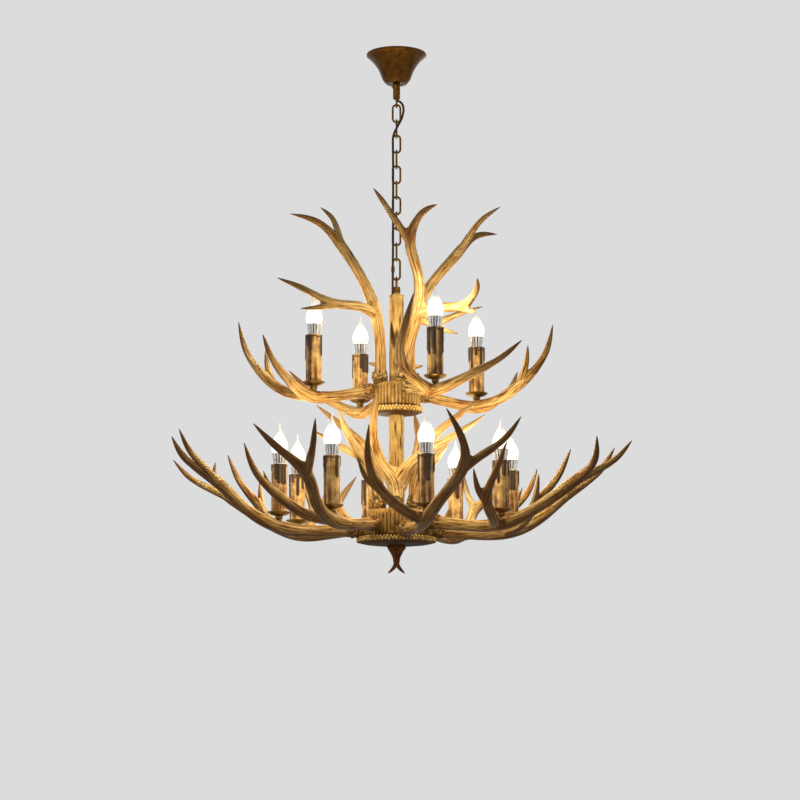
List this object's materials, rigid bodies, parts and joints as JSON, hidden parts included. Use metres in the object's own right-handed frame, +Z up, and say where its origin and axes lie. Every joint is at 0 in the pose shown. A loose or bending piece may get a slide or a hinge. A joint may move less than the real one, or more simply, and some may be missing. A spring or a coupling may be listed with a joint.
{
  "type": "antler chandelier",
  "caption": "Ceiling chandelier of moulded antlers in two tiers on a ribbed hub column, with candle lamps, hung on a chain from a bell canopy.",
  "frame": {"origin": "middle of the ceiling plate's top face, where the lamp meets the ceiling", "axes": "+Z up, into the ceiling; -Y towards the viewer of the picture; +X to the viewer's right"},
  "size_m": [1.0032, 1.0009, 1.162],
  "materials": {
    "antique_bronze": "antique bronze with rubbed gold edges",
    "plated_steel": "zinc plated",
    "brass_hardware": "dull gold plating",
    "aged_brass": "dark aged brass",
    "cord_jacket": "matt dark brown jacket",
    "stained_resin": "ochre resin with dark brown stain in the grooves",
    "dark_resin": "dark brown resin",
    "antler_resin": "grooved antler resin, ochre to dark brown",
    "candle_resin": "aged candle wax look with brown streaks",
    "holder_plastic": "plain moulded",
    "bulb": "frosted flame shape over a silver finned collar"
  },
  "bodies": {
    "ceiling": {"ceiling_plate": "plated_steel", "plate_nut": "brass_hardware", "canopy": "antique_bronze", "canopy_tube": "plated_steel", "chain_collar": "antique_bronze", "collar_screw": "brass_hardware", "supply_cord": "cord_jacket"},
    "link_01": {"chain_link_01": "antique_bronze"},
    "link_02": {"chain_link_02": "antique_bronze"},
    "link_03": {"chain_link_03": "antique_bronze"},
    "link_04": {"chain_link_04": "antique_bronze"},
    "link_05": {"chain_link_05": "antique_bronze"},
    "link_06": {"chain_link_06": "antique_bronze"},
    "link_07": {"chain_link_07": "antique_bronze"},
    "link_08": {"chain_link_08": "antique_bronze"},
    "link_09": {"chain_link_09": "antique_bronze"},
    "link_10": {"chain_link_10": "antique_bronze"},
    "screw_link": {"screw_link": "antique_bronze"},
    "screw_sleeve": {"screw_link_sleeve": "brass_hardware"},
    "fixture": {"top_loop": "antique_bronze", "loop_nut": "brass_hardware", "centre_tube": "plated_steel", "column_upper": "stained_resin", "column_lower": "stained_resin", "hub_upper": "stained_resin", "hub_lower": "stained_resin", "finial": "dark_resin", "antler_studs": "plated_steel", "lower_arm_1": "antler_resin", "lower_arm_2": "antler_resin", "lower_arm_3": "antler_resin", "lower_arm_4": "antler_resin", "lower_arm_5": "antler_resin", "lower_arm_6": "antler_resin", "lower_arm_7": "antler_resin", "lower_arm_8": "antler_resin", "upper_arm_1": "antler_resin", "upper_arm_2": "antler_resin", "upper_arm_3": "antler_resin", "upper_arm_4": "antler_resin", "crown_antler_1": "antler_resin", "crown_antler_2": "antler_resin", "crown_antler_3": "antler_resin", "spray_antlers": "antler_resin", "drip_cups": "aged_brass", "candle_sleeves": "candle_resin", "lamp_holders": "holder_plastic"},
    "bulb_01": {"bulb_01": "bulb"},
    "bulb_02": {"bulb_02": "bulb"},
    "bulb_03": {"bulb_03": "bulb"},
    "bulb_04": {"bulb_04": "bulb"},
    "bulb_05": {"bulb_05": "bulb"},
    "bulb_06": {"bulb_06": "bulb"},
    "bulb_07": {"bulb_07": "bulb"},
    "bulb_08": {"bulb_08": "bulb"},
    "bulb_09": {"bulb_09": "bulb"},
    "bulb_10": {"bulb_10": "bulb"},
    "bulb_11": {"bulb_11": "bulb"},
    "bulb_12": {"bulb_12": "bulb"}
  },
  "joints": [
    {"name": "link_01_swing", "type": "hinge", "parent": "ceiling", "child": "link_01", "pos_m": [0, 0, -0.121], "axis": [0, 1, 0], "range_deg": [-8, 8], "deforming": ["supply_cord"]},
    {"name": "link_02_swing", "type": "hinge", "parent": "link_01", "child": "link_02", "pos_m": [0, 0, -0.156], "axis": [1, 0, 0], "range_deg": [-8, 8]},
    {"name": "link_03_swing", "type": "hinge", "parent": "link_02", "child": "link_03", "pos_m": [0, 0, -0.191], "axis": [0, 1, 0], "range_deg": [-8, 8]},
    {"name": "link_04_swing", "type": "hinge", "parent": "link_03", "child": "link_04", "pos_m": [0, 0, -0.226], "axis": [1, 0, 0], "range_deg": [-8, 8]},
    {"name": "link_05_swing", "type": "hinge", "parent": "link_04", "child": "link_05", "pos_m": [0, 0, -0.261], "axis": [0, 1, 0], "range_deg": [-8, 8]},
    {"name": "link_06_swing", "type": "hinge", "parent": "link_05", "child": "link_06", "pos_m": [0, 0, -0.296], "axis": [1, 0, 0], "range_deg": [-8, 8]},
    {"name": "link_07_swing", "type": "hinge", "parent": "link_06", "child": "link_07", "pos_m": [0, 0, -0.331], "axis": [0, 1, 0], "range_deg": [-8, 8]},
    {"name": "link_08_swing", "type": "hinge", "parent": "link_07", "child": "link_08", "pos_m": [0, 0, -0.366], "axis": [1, 0, 0], "range_deg": [-8, 8]},
    {"name": "link_09_swing", "type": "hinge", "parent": "link_08", "child": "link_09", "pos_m": [0, 0, -0.401], "axis": [0, 1, 0], "range_deg": [-8, 8]},
    {"name": "link_10_swing", "type": "hinge", "parent": "link_09", "child": "link_10", "pos_m": [0, 0, -0.436], "axis": [1, 0, 0], "range_deg": [-8, 8]},
    {"name": "screw_link_swing", "type": "hinge", "parent": "link_10", "child": "screw_link", "pos_m": [0, 0, -0.471], "axis": [0, 1, 0], "range_deg": [-8, 8]},
    {"name": "screw_sleeve_travel", "type": "slide", "parent": "screw_link", "child": "screw_sleeve", "axis": [0, 0, 1], "range_m": [0, 0.009]},
    {"name": "fixture_swing", "type": "hinge", "parent": "screw_link", "child": "fixture", "pos_m": [0, 0, -0.5137], "axis": [1, 0, 0], "range_deg": [-8, 8]},
    {"name": "bulb_01_unscrew", "type": "slide", "parent": "fixture", "child": "bulb_01", "axis": [0, 0, 1], "range_m": [0, 0.02]},
    {"name": "bulb_02_unscrew", "type": "slide", "parent": "fixture", "child": "bulb_02", "axis": [0, 0, 1], "range_m": [0, 0.02]},
    {"name": "bulb_03_unscrew", "type": "slide", "parent": "fixture", "child": "bulb_03", "axis": [0, 0, 1], "range_m": [0, 0.02]},
    {"name": "bulb_04_unscrew", "type": "slide", "parent": "fixture", "child": "bulb_04", "axis": [0, 0, 1], "range_m": [0, 0.02]},
    {"name": "bulb_05_unscrew", "type": "slide", "parent": "fixture", "child": "bulb_05", "axis": [0, 0, 1], "range_m": [0, 0.02]},
    {"name": "bulb_06_unscrew", "type": "slide", "parent": "fixture", "child": "bulb_06", "axis": [0, 0, 1], "range_m": [0, 0.02]},
    {"name": "bulb_07_unscrew", "type": "slide", "parent": "fixture", "child": "bulb_07", "axis": [0, 0, 1], "range_m": [0, 0.02]},
    {"name": "bulb_08_unscrew", "type": "slide", "parent": "fixture", "child": "bulb_08", "axis": [0, 0, 1], "range_m": [0, 0.02]},
    {"name": "bulb_09_unscrew", "type": "slide", "parent": "fixture", "child": "bulb_09", "axis": [0, 0, 1], "range_m": [0, 0.02]},
    {"name": "bulb_10_unscrew", "type": "slide", "parent": "fixture", "child": "bulb_10", "axis": [0, 0, 1], "range_m": [0, 0.02]},
    {"name": "bulb_11_unscrew", "type": "slide", "parent": "fixture", "child": "bulb_11", "axis": [0, 0, 1], "range_m": [0, 0.02]},
    {"name": "bulb_12_unscrew", "type": "slide", "parent": "fixture", "child": "bulb_12", "axis": [0, 0, 1], "range_m": [0, 0.02]}
  ]
}
